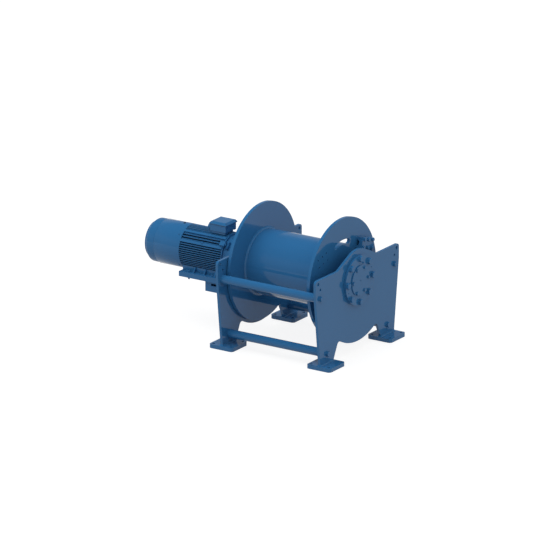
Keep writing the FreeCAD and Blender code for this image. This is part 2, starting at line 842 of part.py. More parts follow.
def leaning_rib(name, x):
    """An upright rib across the feet whose two outer edges lean in towards the motor."""
    rib = DOC.addObject("Part::Wedge", name)
    bottom = dim.motor_foot_half_width - dim.rib_inset
    for prop, size in (
        ("Xmin", 0), ("X2min", 0), ("Xmax", dim.rib_thickness), ("X2max", dim.rib_thickness),
        ("Ymin", 0), ("Ymax", dim.rib_height), ("Zmin", -bottom), ("Zmax", bottom),
        ("Z2min", dim.rib_lean - bottom), ("Z2max", bottom - dim.rib_lean),
    ):
        bind(rib, prop, size)
    rib.Placement = FreeCAD.Placement(FreeCAD.Vector(), FreeCAD.Rotation(FreeCAD.Vector(1, 0, 0), 90))
    place(rib, x - dim.rib_thickness / 2, ZERO, foot_deck)
    return rib


def motor_feet():
    """The base slab, the saddle and three ribs, hollowed to the round of the motor."""
    wide, saddle = dim.motor_foot_half_width, dim.saddle_half_width
    base = box("foot_slab", (motor_foot_start, -wide, foot_bottom),
               (motor_foot_end, wide, foot_deck), keep=False)
    block = box("saddle", (motor_foot_start, -saddle, foot_deck),
                (motor_foot_end, saddle, foot_deck + dim.rib_height), keep=False)
    ribs = [leaning_rib(f"rib_{number}", motor_foot_start + dim.rib_first + number * dim.rib_pitch)
            for number in range(3)]
    whole = DOC.addObject("Part::MultiFuse", "motor_feet_blank")
    whole.Shapes = [base, block] + ribs
    room = cylinder_x("motor_room", dim.fin_radius + dim.seat_clearance, stator_start, dim.stator_length,
                      z=dim.axis_height, keep=False)
    return cut("motor_feet", whole, room)


motor_feet()


def motor_console():
    """A box of plate from the side plate out under the motor feet, with a slot in each side wall."""
    body = new_body("motor_console")
    outline = sketch_on(body, "YZ_Plane", "outline")
    wide, wall = dim.console_half_width, dim.console_wall
    outside = [(-wide, -dim.console_height), (wide, -dim.console_height), (wide, ZERO), (-wide, ZERO)]
    polygon(outline, outside)
    polygon(outline, [(wall - wide, wall - dim.console_height), (wide - wall, wall - dim.console_height),
                      (wide - wall, -wall), (wall - wide, -wall)])
    pad(body, outline, dim.console_reach, backwards=True)
    end_plate = sketch_on(body, "YZ_Plane", "end_plate", dim.console_wall - dim.console_reach)
    polygon(end_plate, outside)
    pad(body, end_plate, dim.console_wall, backwards=True)
    slots = sketch_on(body, "XZ_Plane", "slots")
    start = dim.console_slot_setback - dim.console_reach
    end = start + dim.console_slot_length
    top = dim.console_slot_height / 2 - dim.console_slot_drop
    bottom = top - dim.console_slot_height
    polygon(slots, [(start, bottom), (end, bottom), (end, top), (start, top)])
    pocket(body, slots)
    place(body, motor_plate, z=foot_bottom)
    return body


motor_console()

plinth_bottom = dim.axis_height + dim.plinth_seat
box_bottom = plinth_bottom + dim.plinth_height
box_top = box_bottom + dim.box_height


box("terminal_box_plinth", (plinth_low_x, plinth_low_y, plinth_bottom),
    (plinth_high_x, plinth_high_y, box_bottom))
box("terminal_box", (box_low_x, box_low_y, box_bottom), (box_high_x, box_high_y, box_top))
box("cable_entry_plate", (box_low_x + dim.entry_plate_inset, box_high_y, box_bottom - dim.entry_plate_drop),
    (box_high_x - dim.entry_plate_inset, box_high_y + dim.entry_plate_depth, box_top - dim.seat_clearance))


def terminal_box_lid():
    """The lid overhangs the box on all sides, also over the cable entries, and has broad bevels."""
    body = new_body("terminal_box_lid")
    outline = sketch_on(body, "XY_Plane", "outline")
    half_long, half_wide = dim.lid_length / 2, dim.lid_width / 2
    polygon(outline, [(-half_long, -half_wide), (half_long, -half_wide), (half_long, half_wide),
                      (-half_long, half_wide)])
    slab = pad(body, outline, dim.lid_thickness)
    DOC.recompute()
    upper = [f"Edge{number}" for number, edge in enumerate(slab.Shape.Edges, start=1)
             if edge.BoundBox.ZMin > dim.lid_thickness.value / 2]
    bevel = body.newObject("PartDesign::Chamfer", body.Name + "_bevel")
    bevel.Base = (slab, upper)
    bind(bevel, "Size", dim.lid_edge)
    body.Tip = bevel
    place(body, box_middle, z=box_top)


terminal_box_lid()


# ---- check and write ---------------------------------------------------------------------------

DOC.recompute()
for thing in DOC.Objects:
    if any(word in thing.State for word in ("Invalid", "Error")):
        raise RuntimeError(f"{thing.Label} failed: {thing.State}")
for thing in SUBPARTS:
    if thing.Shape.isNull() or not thing.Shape.isValid():
        raise RuntimeError(f"{thing.Label} has no valid shape")
os.makedirs("parts", exist_ok=True)
for thing in SUBPARTS:
    thing.Shape.exportStep(f"parts/{thing.Label}.step")
    print(f"{thing.Label}: {len(thing.Shape.Solids)} solid, {thing.Shape.Volume / 1e6:.2f} litres")
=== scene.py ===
# %% [markdown]
# # A painted mooring winch
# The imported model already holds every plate, rod and casting at its real size. This lesson dresses it:
# a camera and a light studio, glossy marine paint made from nodes, and the small things that a
# workshop adds last, such as bolts, weld beads and a ventilated fan cover.

# %% Load the frame
import math

import bmesh
import bpy
from mathutils import Matrix, Vector


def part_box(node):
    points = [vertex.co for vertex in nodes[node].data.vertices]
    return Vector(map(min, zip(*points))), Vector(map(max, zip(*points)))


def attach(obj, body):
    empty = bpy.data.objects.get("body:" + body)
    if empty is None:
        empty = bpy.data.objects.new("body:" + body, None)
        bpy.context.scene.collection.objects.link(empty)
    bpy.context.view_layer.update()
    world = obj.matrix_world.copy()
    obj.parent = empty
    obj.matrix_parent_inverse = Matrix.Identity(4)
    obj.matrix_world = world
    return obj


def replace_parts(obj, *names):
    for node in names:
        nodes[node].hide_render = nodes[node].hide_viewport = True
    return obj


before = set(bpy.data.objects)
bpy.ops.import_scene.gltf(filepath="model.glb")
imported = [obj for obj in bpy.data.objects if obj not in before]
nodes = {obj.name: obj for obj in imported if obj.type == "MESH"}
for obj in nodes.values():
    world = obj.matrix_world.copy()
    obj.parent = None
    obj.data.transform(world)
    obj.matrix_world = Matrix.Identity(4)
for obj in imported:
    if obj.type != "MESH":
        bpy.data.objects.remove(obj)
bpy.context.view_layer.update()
scene = bpy.context.scene
scene.view_settings.view_transform = "Standard"

# %% [markdown]
# ## Sizes read from the frame
# Every added piece is placed from the corners of the parts that carry it. A small helper gives a
# part's low corner, high corner and middle, so that no place is typed in twice.

# %% Corners and middles
MM = 0.001


class Part:
    """The corners and the middle of a frame node."""

    def __init__(self, node):
        self.low, self.high = (Vector(corner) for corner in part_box(node))
        self.middle = (self.low + self.high) / 2
        self.size = self.high - self.low


motor_plate = Part("side_plate_motor_end")
bearing_plate = Part("side_plate_bearing_end")
housing = Part("bearing_housing")
cover = Part("bearing_cover")
flange = Part("drum_flange_bearing_end")
gear_flange = Part("drum_flange_gear_end")
barrel = Part("drum_barrel")
clamp = Part("rope_clamp")
adapter = Part("motor_adapter")
shield = Part("motor_end_shield")
stator = Part("stator_housing")
fan = Part("fan_cover")
feet = Part("motor_feet")
console = Part("motor_console")
lid = Part("terminal_box_lid")
AXIS = barrel.middle.z
BARREL_SKIN = barrel.high.z - AXIS
print("drum axis at", round(AXIS, 3), "m above the floor")

# %% [markdown]
# ## Camera
# Product views of machinery are taken from far away with a long lens, so that parallel edges stay
# parallel. An orthographic camera would do the same, but a very long lens keeps the ordinary camera's
# behaviour when the view is turned, so this lesson uses one sixty metres away.

# %% Camera
AZIMUTH, ELEVATION = math.radians(33.47), math.radians(18.05)
DISTANCE, FRAME_WIDTH, SENSOR, VIEW_DEPTH = 60.0, 4.074, 36.0, 500.0
aim = Vector((-0.2885, 0.0, 0.468))
towards_camera = Vector((
    math.cos(ELEVATION) * math.sin(AZIMUTH),
    -math.cos(ELEVATION) * math.cos(AZIMUTH),
    math.sin(ELEVATION),
))
camera = bpy.data.objects.new("camera", bpy.data.cameras.new("camera"))
camera.data.sensor_width = SENSOR
camera.data.lens = SENSOR * DISTANCE / FRAME_WIDTH
camera.data.clip_end = VIEW_DEPTH
camera.location = aim + DISTANCE * towards_camera
camera.rotation_euler = towards_camera.to_track_quat("Z", "Y").to_euler()
scene.collection.objects.link(camera)
scene.camera = camera
print("lens", round(camera.data.lens), "mm")

# %% [markdown]
# ## Node trees as expressions
# Materials, the world and the geometry trees below are all graphs. Wiring each socket by hand is long,
# so a few small classes help: a graph adds any node with its settings and inputs in one call, and a
# value wraps a socket so that `1 - mask * 0.3` adds the Math nodes by itself.

# %% Values
class Value:
    """A number on its way through a graph; arithmetic on it adds Math nodes."""

    def __init__(self, graph, socket):
        self.graph, self.socket = graph, socket

    def _math(self, operation, first, second):
        return self.graph.node("ShaderNodeMath", {"operation": operation}, {0: first, 1: second})[0]

    def __add__(self, other):
        return self._math("ADD", self, other)

    def __sub__(self, other):
        return self._math("SUBTRACT", self, other)

    def __mul__(self, other):
        return self._math("MULTIPLY", self, other)

    def __truediv__(self, other):
        return self._math("DIVIDE", self, other)

    def __rsub__(self, other):
        return self._math("SUBTRACT", other, self)

    __radd__ = __add__
    __rmul__ = __mul__


class Outputs:
    """The outputs of a node, by name or number."""

    def __init__(self, graph, node):
        self.graph, self.node = graph, node

    def __getitem__(self, key):
        return Value(self.graph, self.node.outputs[key])


print("values take + - * and /")


# %% Graphs
class Graph:
    """A node tree that takes a node with its settings and its sockets in one call."""

    def __init__(self, tree):
        self.tree = tree

    def node(self, kind, settings=None, inputs=None):
        node = self.tree.nodes.new(kind)
        for name, value in (settings or {}).items():
            if name == "stops":
                self._ramp(node.color_ramp, value)
            else:
                setattr(node, name, value)
        for key, value in (inputs or {}).items():
            for item in value if isinstance(value, list) else [value]:
                if isinstance(item, Value):
                    self.tree.links.new(item.socket, node.inputs[key])
                else:
                    node.inputs[key].default_value = item
        return Outputs(self, node)

    def mix(self, factor, first, second):
        """Two colours mixed; a factor of 1 gives the second."""
        return self.node("ShaderNodeMix", {"data_type": "RGBA"}, {"Factor": factor, 6: first, 7: second})[2]

    def map_range(self, value, start, end, low=0.0, high=1.0):
        """How far the value is on its way from start to end, as a number from low to high."""
        return self.node("ShaderNodeMapRange", None, {0: value, 1: start, 2: end, 3: low, 4: high})[0]

    def greys(self, value, levels):
        """A grey for the value, from pairs of a position and the level there."""
        stops = [(position, (level, level, level, 1.0)) for position, level in levels]
        return self.node("ShaderNodeValToRGB", {"stops": stops}, {0: value})["Color"]

    @staticmethod
    def _ramp(ramp, stops):
        while len(ramp.elements) < len(stops):
            ramp.elements.new(1.0)
        for element, (position, colour) in zip(ramp.elements, stops):
            element.position = position
            element.color = colour


print("graph helpers ready")

# %% [markdown]
# ## Floor, sky and lamp
# The winch stands on a pale floor that runs to the horizon. Its colour, with a little light of its own
# for the camera and for reflections, makes the white surroundings, and it still takes the soft shadow.
# The paint needs something to mirror: a bright floor, a sky that darkens towards the top and a white
# panel on the right give the crisp dark and light bands that glossy steel shows in a studio. The camera
# itself sees a plain white sky. One large soft lamp hangs above the motor end, a little in front. It
# isn't mirrored, so it leaves no square of glare.

# %% Floor
floor_material = bpy.data.materials.new("pale_floor")
floor_material.use_nodes = True
floor_graph = Graph(floor_material.node_tree)
floor_graph.tree.nodes.clear()
rays = floor_graph.node("ShaderNodeLightPath")
SEEN_TONE, BOUNCE_TONE, SEEN_GLOW, MIRRORED_GLOW = 0.24, 0.47, 0.84, 0.76
straight = rays["Is Camera Ray"] + rays["Is Transmission Ray"]
mirrored = rays["Is Glossy Ray"]
tone = straight * SEEN_TONE + (1 - straight) * (1 - mirrored) * BOUNCE_TONE
matte = floor_graph.node("ShaderNodeBsdfDiffuse", None, {"Color": tone})
glow = floor_graph.node("ShaderNodeEmission", None,
                        {"Strength": straight * SEEN_GLOW + mirrored * MIRRORED_GLOW})
both = floor_graph.node("ShaderNodeAddShader", None, {0: matte[0], 1: glow[0]})
floor_graph.node("ShaderNodeOutputMaterial", None, {"Surface": both[0]})

FLOOR_HALF = 300.0
floor_mesh = bpy.data.meshes.new("floor")
floor_corners = [(x * FLOOR_HALF, y * FLOOR_HALF, 0.0) for x, y in ((-1, -1), (1, -1), (1, 1), (-1, 1))]
floor_mesh.from_pydata(floor_corners, [], [(0, 1, 2, 3)])
floor_mesh.materials.append(floor_material)
floor = bpy.data.objects.new("floor", floor_mesh)
scene.collection.objects.link(floor)
print("floor", 2 * FLOOR_HALF, "m square")

# %% Sky
WHITE = (1.0, 1.0, 1.0, 1.0)
MIRRORED_SKY = ((0.0, 0.38), (0.13, 0.34), (0.31, 0.37), (0.43, 0.36),
                (0.53, 0.24), (0.62, 0.12), (0.75, 0.05), (1.0, 0.02))
LIGHTING_SKY = ((0.0, 0.60), (1.0, 0.98))
PANEL_START, PANEL_FULL = 0.35, 0.65
PANEL_TOP, PANEL_END = 0.45, 0.70
world = bpy.data.worlds.new("studio")
scene.world = world
world.use_nodes = True
sky = Graph(world.node_tree)
sky.tree.nodes.clear()
direction = sky.node("ShaderNodeTexCoord")["Generated"]
compass = sky.node("ShaderNodeSeparateXYZ", None, {0: direction})
height = compass["Z"]
sky_rays = sky.node("ShaderNodeLightPath")
to_right = sky.map_range(compass["X"], PANEL_START, PANEL_FULL)
below_top = sky.map_range(height, PANEL_TOP, PANEL_END, 1.0, 0.0)
panelled = sky.mix(to_right * below_top, sky.greys(height, MIRRORED_SKY), WHITE)
lit_sky = sky.mix(sky_rays["Is Glossy Ray"], sky.greys(height, LIGHTING_SKY), panelled)
seen_sky = sky.mix(sky_rays["Is Camera Ray"], lit_sky, WHITE)
background = sky.node("ShaderNodeBackground", None, {"Color": seen_sky, "Strength": 1.0})
sky.node("ShaderNodeOutputWorld", None, {"Surface": background[0]})
print("sky with", len(MIRRORED_SKY), "mirrored levels")

# %% Lamp
LAMP_PLACE, LAMP_SIDE, LAMP_WATTS = Vector((-1.5, -2.0, 6.5)), 5.0, 112
lamp = bpy.data.objects.new("overhead", bpy.data.lights.new("overhead", "AREA"))
lamp.data.size = LAMP_SIDE
lamp.data.energy = LAMP_WATTS
lamp.location = LAMP_PLACE
lamp.rotation_euler = (LAMP_PLACE - aim).to_track_quat("Z", "Y").to_euler()
lamp.visible_glossy = False
scene.collection.objects.link(lamp)
print("lamp", LAMP_SIDE, "m square")

# %% [markdown]
# ## Marine paint
# Two-pack paint on shot-blasted steel is smooth and glossy, yet never perfect: the gun leaves a faint
# orange peel, film thickness shifts the tone a little, and handling leaves duller patches. Noise at
# three scales gives these. The bevel node rounds the normals at every plate edge, because sprayed
# paint always draws back from a sharp corner. Those edges are also mixed towards a paler blue, patchy
# with the handling noise: a painted highlight line. One paint darkens from the tips of the fins to
# their roots: painted shade, where the fins shade each other.

# %% Paint
PAINT_BLUE = (0.030, 0.155, 0.360, 1.0)
# DEEP is the random film tone; the second is the painted shade at the fins' roots, the third the paleness of
# the painted edge highlight
DEEP, FIN_ROOT_SHADE, EDGE_HIGHLIGHT_PALENESS = 0.90, 0.30, 0.93
FILM_SCALE, SMUDGE_SCALE = 3.0, 9.0
FLAT_FACING, EDGE_FACING, EDGE_HIGHLIGHT = 0.995, 0.90, 0.5
SMUDGE_SPREAD, PEEL_DEPTH, PAINT_IOR = 0.04, 0.5 * MM, 1.36


def darker(colour, share):
    return tuple(share * part for part in colour[:3]) + (1.0,)


def paler(colour, share):
    return tuple(1.0 - share * (1.0 - part) for part in colour[:3]) + (1.0,)


def paint(name, colour=PAINT_BLUE, roughness=0.05, peel=0.01, grain=260.0, edge=1.5 * MM, gaps=None):
    """A smooth coat; peel is the strength of its orange peel, and edge the rounding of its corners and the
    width of the painted highlight along them.

    gaps is the radius of the fins' roots and that of their tips, for a coat with painted shade between them.
    """
    material = bpy.data.materials.new(name)
    material.use_nodes = True
    graph = Graph(material.node_tree)
    graph.tree.nodes.clear()
    place = graph.node("ShaderNodeTexCoord")["Object"]

    def noise(scale, detail=2.0):
        inputs = {"Vector": place, "Scale": scale, "Detail": detail}
        return graph.node("ShaderNodeTexNoise", None, inputs)["Fac"]

    film, smudge, skin = noise(FILM_SCALE, 4.0), noise(SMUDGE_SCALE, 6.0), noise(grain)
    toned = graph.mix(film, darker(colour, DEEP), colour)
    if gaps:
        split = graph.node("ShaderNodeSeparateXYZ", None, {0: place})
        up = split["Z"] - AXIS
        squares = split["Y"] * split["Y"] + up * up
        radius = graph.node("ShaderNodeMath", {"operation": "SQRT"}, {0: squares})[0]
        # painted shade: the colour darkens from the fin tips down to their roots, where the fins shade each
        # other
        toned = graph.mix(graph.map_range(radius, *gaps), darker(colour, FIN_ROOT_SHADE), toned)
    rounded = graph.node("ShaderNodeBevel", {"samples": 4}, {"Radius": edge})["Normal"]
    flat = graph.node("ShaderNodeNewGeometry")["Normal"]
    facing = graph.node("ShaderNodeVectorMath", {"operation": "DOT_PRODUCT"}, {0: rounded, 1: flat})
    # painted highlight: the rounded edges are mixed towards a paler blue, patchy with the smudge noise
    corner = graph.map_range(facing["Value"], FLAT_FACING, EDGE_FACING, 0.0, EDGE_HIGHLIGHT)
    highlighted_edges = graph.mix(corner * smudge, toned, paler(colour, EDGE_HIGHLIGHT_PALENESS))
    relief = {"Strength": peel, "Distance": PEEL_DEPTH, "Height": skin, "Normal": rounded}
    bump = graph.node("ShaderNodeBump", None, relief)["Normal"]
    shader = graph.node("ShaderNodeBsdfPrincipled", None, {
        "Base Color": highlighted_edges,
        "Roughness": smudge * SMUDGE_SPREAD + (roughness - SMUDGE_SPREAD / 2),
        "Normal": bump,
        "IOR": PAINT_IOR,
    })
    graph.node("ShaderNodeOutputMaterial", None, {"Surface": shader[0]})
    return material


print("paint helper ready")

# %% The finishes
BLACK = (0.012, 0.016, 0.022, 1.0)
FIN_ROOT, FIN_TIP = 0.132, 0.166
cast_coat = {"roughness": 0.06, "peel": 0.015, "grain": 180.0}
plate_paint = paint("frame_paint_gloss")
drum_gloss = paint("drum_paint_gloss")
casting_paint = paint("motor_paint_gloss", **cast_coat)
# the stator's coat carries painted shade between its fins
stator_paint = paint("stator_paint_gloss", **cast_coat, gaps=(FIN_ROOT, FIN_TIP))
fastener_paint = paint("fastener_paint", roughness=0.16, peel=0.05, grain=500.0, edge=0.6 * MM)
# one black coat for the plug, fan and hub, also used for the painted shadow strips under the lid and the box
black_and_painted_shadow = paint("black_plastic_oxide_and_painted_shadow", BLACK, roughness=0.35, peel=0.1, grain=700.0, edge=0.5 * MM)
print("five paints and one black finish")

# %% [markdown]
# ## Dressing the imported nodes
# The nodes come with plain materials. Their names say what they belong to, so the beginning of a name
# is enough to choose the paint. The finned body of the motor is the one with painted shade between its fins.

# %% Dress the frame's own nodes
MOTOR_NODES = ("fan_cover", "motor_", "terminal", "cable_entry")
for name, node in nodes.items():
    if name == "stator_housing":
        finish = stator_paint
    elif name.startswith(MOTOR_NODES):
        finish = casting_paint
    elif name.startswith(("drum_", "rope_")):
        finish = drum_gloss
    else:
        finish = plate_paint
    for slot in node.material_slots:
        slot.material = finish
print("dressed", len(nodes), "nodes")

# %% [markdown]
# ## Finished pieces
# Each added piece ends as one plain mesh at the origin, riding on a body. This helper does those last
# steps for every piece.

# %% Finish a piece
def finish_piece(piece, body, material=None):
    """Turn a piece's modifiers into a plain mesh, then let it ride on its body."""
    graph = bpy.context.evaluated_depsgraph_get()
    mesh = bpy.data.meshes.new_from_object(piece.evaluated_get(graph))
    piece.modifiers.clear()
    piece.data = mesh
    if material is not None:
        mesh.materials.clear()
        mesh.materials.append(material)
    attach(piece, body)
    print(piece.name, len(mesh.polygons), "faces")
    return piece


def mesh_object(name, points, faces=()):
    mesh = bpy.data.meshes.new(name)
    mesh.from_pydata(points, [], faces)
    thing = bpy.data.objects.new(name, mesh)
    scene.collection.objects.link(thing)
    return thing


print("finishing helpers ready")

# %% [markdown]
# ## A hexagon bolt head
# A forged head is a hexagonal prism whose upper corners are turned off by a cone, which leaves an arc
# on each flat. A boolean of a prism and a cone would give it, but the same shape is three rings: at
# each angle the prism's own radius, dropped by the cone where it sticks out past the turned circle.
# Screw heads, studs and cable glands are stacks of rings too, so one helper closes any such stack.

# %% Rings of points
def ring_faces(rings, count, closed=False):
    """Quads between neighbouring rings of points; closed joins the last ring to the first."""
    return [(ring * count + i, ring * count + (i + 1) % count,
             (ring + 1) % rings * count + (i + 1) % count, (ring + 1) % rings * count + i)
            for ring in range(rings if closed else rings - 1) for i in range(count)]


def round_angles(count):
    return [2 * math.pi * i / count for i in range(count)]


def circle_points(radius, height, count):
    return [(radius * math.cos(angle), radius * math.sin(angle), height) for angle in round_angles(count)]


def stacked(name, rings):
    """An object from rings of points, all of one count; both ends are closed with flat caps."""
    count = len(rings[0])
    points = [point for ring in rings for point in ring]
    faces = ring_faces(len(rings), count)
    faces.append(tuple(reversed(range(count))))
    faces.append(tuple(range((len(rings) - 1) * count, len(rings) * count)))
    mesh = bpy.data.meshes.new(name)
    mesh.from_pydata(points, [], faces)
    return bpy.data.objects.new(name, mesh)


print("ring helpers ready")

# %% Bolt and screw heads
HEAD_STEPS, SCREW_STEPS = 36, 24
WASHER_REACH, WASHER_HEIGHT = 1.12, 0.18
TURNED_SHARE, TURNED_SLOPE = 0.95, math.radians(30)


def hexagon_radius(inscribed, angle):
    """How far a hexagon's side is from its middle at an angle; a corner lies at angle 0."""
    return inscribed / math.cos(angle % (math.pi / 3) - math.pi / 6)


def bolt_head(name, across_flats, height):
    """A chamfered hexagon head on a washer, standing on its own origin and looking up +Z."""
    inscribed = across_flats / 2
    turned_radius = TURNED_SHARE * inscribed
    seat = WASHER_HEIGHT * height
    washer = WASHER_REACH * across_flats / math.sqrt(3)
    lower, upper = [], []
    for angle in round_angles(HEAD_STEPS):
        prism = hexagon_radius(inscribed, angle + math.pi / 6)
        x, y = prism * math.cos(angle), prism * math.sin(angle)
        lower.append((x, y, seat))
        upper.append((x, y, seat + height - (prism - turned_radius) * math.tan(TURNED_SLOPE)))
    below = [circle_points(washer, 0.0, HEAD_STEPS), circle_points(washer, 0.8 * seat, HEAD_STEPS),
             circle_points(0.97 * washer, seat, HEAD_STEPS)]
    return stacked(name, below + [lower, upper, circle_points(turned_radius, seat + height, HEAD_STEPS)])


def screw_head(name, radius, height, socket=0.45):
    """A low domed screw head; socket is the size of its hexagon socket, as a share of the head's."""
    outer = [circle_points(radius * share, height * level, SCREW_STEPS) for share, level in
             ((1.0, 0.0), (1.0, 0.45), (0.93, 0.8), (0.75, 1.0), (socket + 0.06, 1.0))]
    recess = []
    for level in (0.95, 0.35):
        ring = []
        for angle in round_angles(SCREW_STEPS):
            wall = hexagon_radius(socket * radius * math.cos(math.pi / 6), angle)
            ring.append((wall * math.cos(angle), wall * math.sin(angle), height * level))
        recess.append(ring)
    return stacked(name, outer + recess)


print("head helpers ready")

# %% [markdown]
# ## Fasteners from Geometry Nodes
# Bolts repeat, so they are instanced: a mesh of bare points says where they sit and which way they
# look, and one tree puts a head on each point, turns it by a seeded random angle as a spanner would
# leave it, and makes the instances real. The way is kept on each point as an attribute.

# %% Trees and their inputs
def new_tree(name, inputs, result):
    """A Geometry Nodes tree with its inputs, as pairs of a name and a kind, and one output."""
    tree = bpy.data.node_groups.new(name, "GeometryNodeTree")
    for label, kind in inputs:
        tree.interface.new_socket(label, in_out="INPUT", socket_type=f"NodeSocket{kind}")
    tree.interface.new_socket(result, in_out="OUTPUT", socket_type="NodeSocketGeometry")
    return tree


def set_inputs(modifier, values):
    """Give a Geometry Nodes modifier its inputs by the names on its tree."""
    for item in modifier.node_group.interface.items_tree:
        if item.in_out == "INPUT" and item.name in values:
            modifier[item.identifier] = values[item.name]


print("tree helpers ready")

# %% The fastener tree
def fastener_tree():
    tree = new_tree("fasteners_on_points", (
        ("Points", "Geometry"), ("Head", "Object"), ("Spanner Play", "Float"), ("Seed", "Int"),
        ("Finish", "Material")), "Fasteners")
    graph = Graph(tree)
    given = graph.node("NodeGroupInput")
    head = graph.node("GeometryNodeObjectInfo", None, {"Object": given["Head"]})["Geometry"]
    looks = graph.node("GeometryNodeInputNamedAttribute", {"data_type": "FLOAT_VECTOR"}, {"Name": "looks"})
    way = {"Vector": looks["Attribute"]}
    upright = graph.node("FunctionNodeAlignRotationToVector", {"axis": "Z"}, way)["Rotation"]
    seats = {"Points": given["Points"], "Instance": head, "Rotation": upright}
    placed = graph.node("GeometryNodeInstanceOnPoints", None, seats)["Instances"]
    play = given["Spanner Play"]
    draw = {2: play * -1.0, 3: play, "Seed": given["Seed"]}
    spin = graph.node("FunctionNodeRandomValue", {"data_type": "FLOAT"}, draw)[1]
    turn = graph.node("ShaderNodeCombineXYZ", None, {"Z": spin})[0]
    spun = graph.node("GeometryNodeRotateInstances", None, {"Instances": placed, "Rotation": turn})[0]
    real = graph.node("GeometryNodeRealizeInstances", None, {0: spun})[0]
    coated = graph.node("GeometryNodeSetMaterial", None, {0: real, "Material": given["Finish"]})[0]
    graph.node("NodeGroupOutput", None, {0: coated})
    return tree


FASTENERS = fastener_tree()
print("fastener tree with", len(FASTENERS.nodes), "nodes")

# %% Fasten
SPANNER_PLAY, TIGHT_PLAY = 0.5, 0.4


def fasten(name, head, spots, looks, body, seed, play=SPANNER_PLAY, finish=fastener_paint):
    """Put a head on every spot; looks is the way they face, one for all or one for each."""
    piece = mesh_object(name, [tuple(spot) for spot in spots])
    ways = looks if isinstance(looks, list) else [looks] * len(spots)
    layer = piece.data.attributes.new("looks", "FLOAT_VECTOR", "POINT")
    for item, way in zip(layer.data, ways):
        item.vector = way
    modifier = piece.modifiers.new("fasteners", "NODES")
    modifier.node_group = FASTENERS
    set_inputs(modifier, {"Head": head, "Spanner Play": play, "Seed": seed, "Finish": finish})
    bpy.context.view_layer.update()
    return finish_piece(piece, body)


def around_axis(x, radius, count, first=0.0):
    """Spots on a circle about the drum axis; first is the angle of the first from +Y, in degrees."""
    spots = []
    for i in range(count):
        angle = math.radians(first) + 2 * math.pi * i / count
        spots.append((x, radius * math.cos(angle), AXIS + radius * math.sin(angle)))
    return spots


print("heads turn by up to", SPANNER_PLAY, "radians")

# %% [markdown]
# ## The bolts of the bearing end
# Eight large bolts hold the bearing housing to the side plate, six small ones hold its cover, and one
# bolt at each corner goes into the end of a tie rod. Standard sizes are used: M27, M14 and M24. A small
# plug closes the middle of the cover, and a grease nipple stands between two of the large bolts.

# %% Heads in standard sizes
m27 = bolt_head("m27_head", 41 * MM, 17 * MM)
m24 = bolt_head("m24_head", 36 * MM, 15 * MM)
m16 = bolt_head("m16_head", 24 * MM, 10 * MM)
m12 = bolt_head("m12_head", 18 * MM, 7.5 * MM)
m14 = bolt_head("m14_head", 22 * MM, 8.8 * MM)
print("five sizes of bolt head")

# %% Bearing-end bolts
RIGHT, LEFT, UP, DOWN = (1.0, 0.0, 0.0), (-1.0, 0.0, 0.0), (0.0, 0.0, 1.0), (0.0, 0.0, -1.0)
HOUSING_CIRCLE, COVER_CIRCLE = 0.167, 0.101
housing_spots = around_axis(housing.high.x, HOUSING_CIRCLE, 8)
fasten("housing_bolts", m27, housing_spots, RIGHT, "frame", 3, TIGHT_PLAY)
cover_spots = around_axis(cover.high.x, COVER_CIRCLE, 6)
fasten("cover_bolts", m14, cover_spots, RIGHT, "frame", 5, TIGHT_PLAY)

plug = screw_head("centre_plug", 6 * MM, 3 * MM)
fasten("cover_plug", plug, [(cover.high.x, 0.0, AXIS)], RIGHT, "frame", 15, TIGHT_PLAY)
NIPPLE_CIRCLE, NIPPLE_ANGLE = 0.133, 73.0
nipple = screw_head("grease_nipple_head", 5 * MM, 9 * MM, 0.3)
nipple_spot = around_axis(housing.high.x, NIPPLE_CIRCLE, 1, NIPPLE_ANGLE)
fasten("grease_nipple", nipple, nipple_spot, RIGHT, "frame", 15, TIGHT_PLAY)

# %% Tie-rod bolts
rods = [Part(name).middle for name in nodes if name.startswith("tie_rod")]
for end, x, looks in (("bearing_end", bearing_plate.high.x, RIGHT), ("motor_end", motor_plate.low.x, LEFT)):
    spots = [(x, rod.y, rod.z) for rod in rods]
    fasten(f"tie_rod_bolts_{end}", m24, spots, looks, "frame", 7)

# %% [markdown]
# ## Rope clamp bolts
# Two rows of three bolts press the clamp block on the rope's end. They follow the block's own tilt.

# %% Clamp bolts
CLAMP_TILT = math.radians(15.0)
CLAMP_ROW, CLAMP_PITCH = 0.060, 0.057
along = Vector((0.0, math.cos(CLAMP_TILT), -math.sin(CLAMP_TILT)))
across = Vector((0.0, math.sin(CLAMP_TILT), math.cos(CLAMP_TILT)))
centre = Vector((clamp.high.x, clamp.middle.y, clamp.middle.z))
clamp_spots = [centre + along * CLAMP_PITCH * i + across * CLAMP_ROW * j
               for i in (-1, 0, 1) for j in (-0.5, 0.5)]
fasten("rope_clamp_bolts", m16, clamp_spots, RIGHT, "drum", 9)

# %% [markdown]
# ## Motor bolts
# The adapter's rim is bolted to the side plate, the end shield to the stator's corner lugs, the feet
# to the console, and the terminal box lid has a screw at each corner. Two of the feet's bolts lie past
# the end of the console, so their nuts and stud ends show below. Four screws hold the fan cover by
# its rim, and a black plug sits on its top.

# %% Adapter and end shield bolts
RIM_DEPTH, RIM_CIRCLE, RIM_FIRST = 18 * MM, 0.155, 15
rim_bolts = around_axis(adapter.high.x - RIM_DEPTH, RIM_CIRCLE, 12, RIM_FIRST)
fasten("adapter_bolts", m12, rim_bolts, LEFT, "frame", 11, TIGHT_PLAY)

LUG_TURN, LUG_CIRCLE, LUG_SEAT = 48.0, 0.168, 22 * MM
lug_angles = [math.radians(90 + sign * LUG_TURN + half) for half in (0, 180) for sign in (-1, 1)]
lug_spots = [(shield.low.x + LUG_SEAT, LUG_CIRCLE * math.cos(angle), AXIS + LUG_CIRCLE * math.sin(angle))
             for angle in lug_angles]
fasten("shield_bolts", m12, lug_spots, RIGHT, "frame", 13, TIGHT_PLAY)

